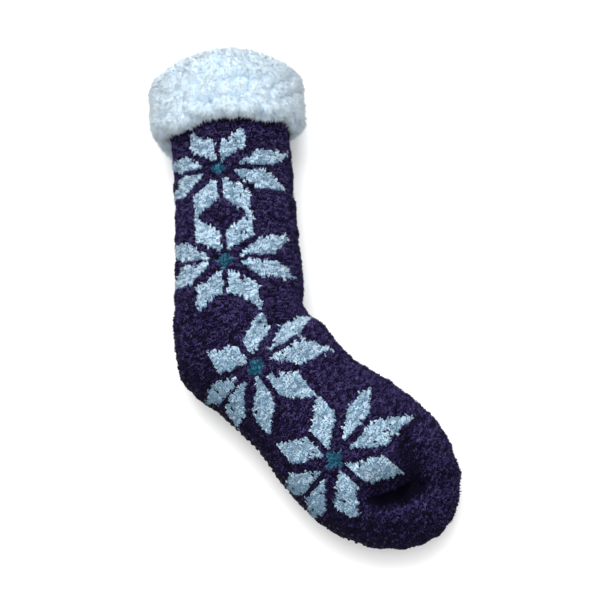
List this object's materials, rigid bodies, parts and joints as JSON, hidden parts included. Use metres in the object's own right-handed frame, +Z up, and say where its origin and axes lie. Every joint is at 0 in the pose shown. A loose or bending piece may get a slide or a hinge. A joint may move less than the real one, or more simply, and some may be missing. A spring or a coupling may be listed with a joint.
{
  "type": "sherpa-lined slipper sock",
  "caption": "Fuzzy knitted slipper sock with a star pattern and a white sherpa lining turned over the rim as a deep cuff, lying on its side.",
  "frame": {"origin": "middle of the box's underside, on the floor that the sock lies on", "axes": "+Z up from the floor; the leg runs along +Y to the cuff; the instep faces +X and the toe points to +X and -Y"},
  "size_m": [0.2395, 0.3732, 0.0889],
  "materials": {
    "fuzzy_knit": "dark purple brushed knit with pale blue stars",
    "sherpa_fleece": "white curly fleece"
  },
  "bodies": {
    "root": {"knit_sock": "fuzzy_knit", "sherpa_cuff": "sherpa_fleece"}
  },
  "joints": []
}
